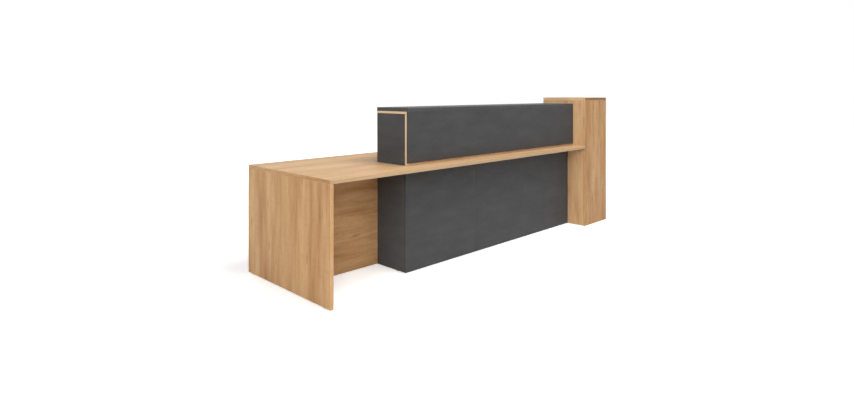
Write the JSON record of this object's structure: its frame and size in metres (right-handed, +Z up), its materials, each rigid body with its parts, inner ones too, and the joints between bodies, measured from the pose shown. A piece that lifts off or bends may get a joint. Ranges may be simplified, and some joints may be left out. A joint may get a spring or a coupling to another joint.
{
  "type": "reception desk",
  "caption": "Long panel-built reception desk with an oak-look work top, a dark raised visitor counter with a light accent line, and a storage tower closing one end.",
  "frame": {"origin": "middle of the footprint's bounding box, on the floor", "axes": "+X along the desk towards the tower, +Y from the visitors' side to the staff side, +Z up"},
  "size_m": [3.425, 0.9, 1.185],
  "materials": {
    "oak_laminate": "matt oak-look laminate",
    "anthracite_laminate": "matt dark grey laminate",
    "zinc_steel": "bright zinc",
    "black_nylon": "moulded"
  },
  "bodies": {
    "desk": {"desk_top": "oak_laminate", "left_gable": "oak_laminate", "mid_gable": "oak_laminate", "right_gable": "oak_laminate", "modesty_panel_left": "oak_laminate", "modesty_panel_right": "oak_laminate", "accent_top": "oak_laminate", "accent_front": "oak_laminate", "counter_divider_1": "oak_laminate", "counter_divider_2": "oak_laminate", "tower_top": "oak_laminate", "tower_front": "oak_laminate", "tower_left_side": "oak_laminate", "tower_right_side": "oak_laminate", "tower_bottom": "oak_laminate", "tower_shelf_1": "oak_laminate", "tower_shelf_2": "oak_laminate", "tower_shelf_3": "oak_laminate", "lower_cheek": "anthracite_laminate", "lower_upright_mid": "anthracite_laminate", "lower_upright_right": "anthracite_laminate", "lower_front_left": "anthracite_laminate", "lower_front_right": "anthracite_laminate", "counter_slab": "anthracite_laminate", "counter_front": "anthracite_laminate", "counter_end_left": "anthracite_laminate", "counter_end_right": "anthracite_laminate", "angle_left_1": "zinc_steel", "angle_left_2": "zinc_steel", "angle_left_3": "zinc_steel", "angle_right_1": "zinc_steel", "angle_right_2": "zinc_steel", "angle_right_3": "zinc_steel", "left_gable_foot_sleeve_front": "zinc_steel", "left_gable_foot_sleeve_back": "zinc_steel", "mid_gable_foot_sleeve": "zinc_steel", "right_gable_foot_sleeve_front": "zinc_steel", "right_gable_foot_sleeve_back": "zinc_steel", "lower_cheek_foot_sleeve": "zinc_steel", "lower_upright_mid_foot_sleeve": "zinc_steel", "lower_upright_right_foot_sleeve": "zinc_steel", "tower_foot_socket_1": "black_nylon", "tower_foot_socket_2": "black_nylon", "tower_foot_socket_3": "black_nylon", "tower_foot_socket_4": "black_nylon"},
    "left_gable_foot_front_body": {"left_gable_foot_front": "black_nylon"},
    "left_gable_foot_back_body": {"left_gable_foot_back": "black_nylon"},
    "mid_gable_foot_body": {"mid_gable_foot": "black_nylon"},
    "right_gable_foot_front_body": {"right_gable_foot_front": "black_nylon"},
    "right_gable_foot_back_body": {"right_gable_foot_back": "black_nylon"},
    "lower_cheek_foot_body": {"lower_cheek_foot": "black_nylon"},
    "lower_upright_mid_foot_body": {"lower_upright_mid_foot": "black_nylon"},
    "lower_upright_right_foot_body": {"lower_upright_right_foot": "black_nylon"},
    "tower_foot_1_body": {"tower_foot_1": "black_nylon"},
    "tower_foot_2_body": {"tower_foot_2": "black_nylon"},
    "tower_foot_3_body": {"tower_foot_3": "black_nylon"},
    "tower_foot_4_body": {"tower_foot_4": "black_nylon"}
  },
  "joints": [
    {"name": "left_gable_foot_front_turn", "type": "hinge", "parent": "desk", "child": "left_gable_foot_front_body", "pos_m": [-1.7, -0.39, 0], "axis": [0, 0, 1], "continuous": true},
    {"name": "left_gable_foot_back_turn", "type": "hinge", "parent": "desk", "child": "left_gable_foot_back_body", "pos_m": [-1.7, 0.39, 0], "axis": [0, 0, 1], "continuous": true},
    {"name": "mid_gable_foot_turn", "type": "hinge", "parent": "desk", "child": "mid_gable_foot_body", "pos_m": [-0.1325, 0.285, 0], "axis": [0, 0, 1], "continuous": true},
    {"name": "right_gable_foot_front_turn", "type": "hinge", "parent": "desk", "child": "right_gable_foot_front_body", "pos_m": [1.275, 0.075, 0], "axis": [0, 0, 1], "continuous": true},
    {"name": "right_gable_foot_back_turn", "type": "hinge", "parent": "desk", "child": "right_gable_foot_back_body", "pos_m": [1.275, 0.39, 0], "axis": [0, 0, 1], "continuous": true},
    {"name": "lower_cheek_foot_turn", "type": "hinge", "parent": "desk", "child": "lower_cheek_foot_body", "pos_m": [-0.91, -0.204, 0], "axis": [0, 0, 1], "continuous": true},
    {"name": "lower_upright_mid_foot_turn", "type": "hinge", "parent": "desk", "child": "lower_upright_mid_foot_body", "pos_m": [-0.1325, -0.204, 0], "axis": [0, 0, 1], "continuous": true},
    {"name": "lower_upright_right_foot_turn", "type": "hinge", "parent": "desk", "child": "lower_upright_right_foot_body", "pos_m": [1.275, -0.204, 0], "axis": [0, 0, 1], "continuous": true},
    {"name": "tower_foot_1_turn", "type": "hinge", "parent": "desk", "child": "tower_foot_1_body", "pos_m": [1.3535, -0.384, 0], "axis": [0, 0, 1], "continuous": true},
    {"name": "tower_foot_2_turn", "type": "hinge", "parent": "desk", "child": "tower_foot_2_body", "pos_m": [1.6465, -0.384, 0], "axis": [0, 0, 1], "continuous": true},
    {"name": "tower_foot_3_turn", "type": "hinge", "parent": "desk", "child": "tower_foot_3_body", "pos_m": [1.3535, -0.078, 0], "axis": [0, 0, 1], "continuous": true},
    {"name": "tower_foot_4_turn", "type": "hinge", "parent": "desk", "child": "tower_foot_4_body", "pos_m": [1.6465, -0.078, 0], "axis": [0, 0, 1], "continuous": true}
  ]
}
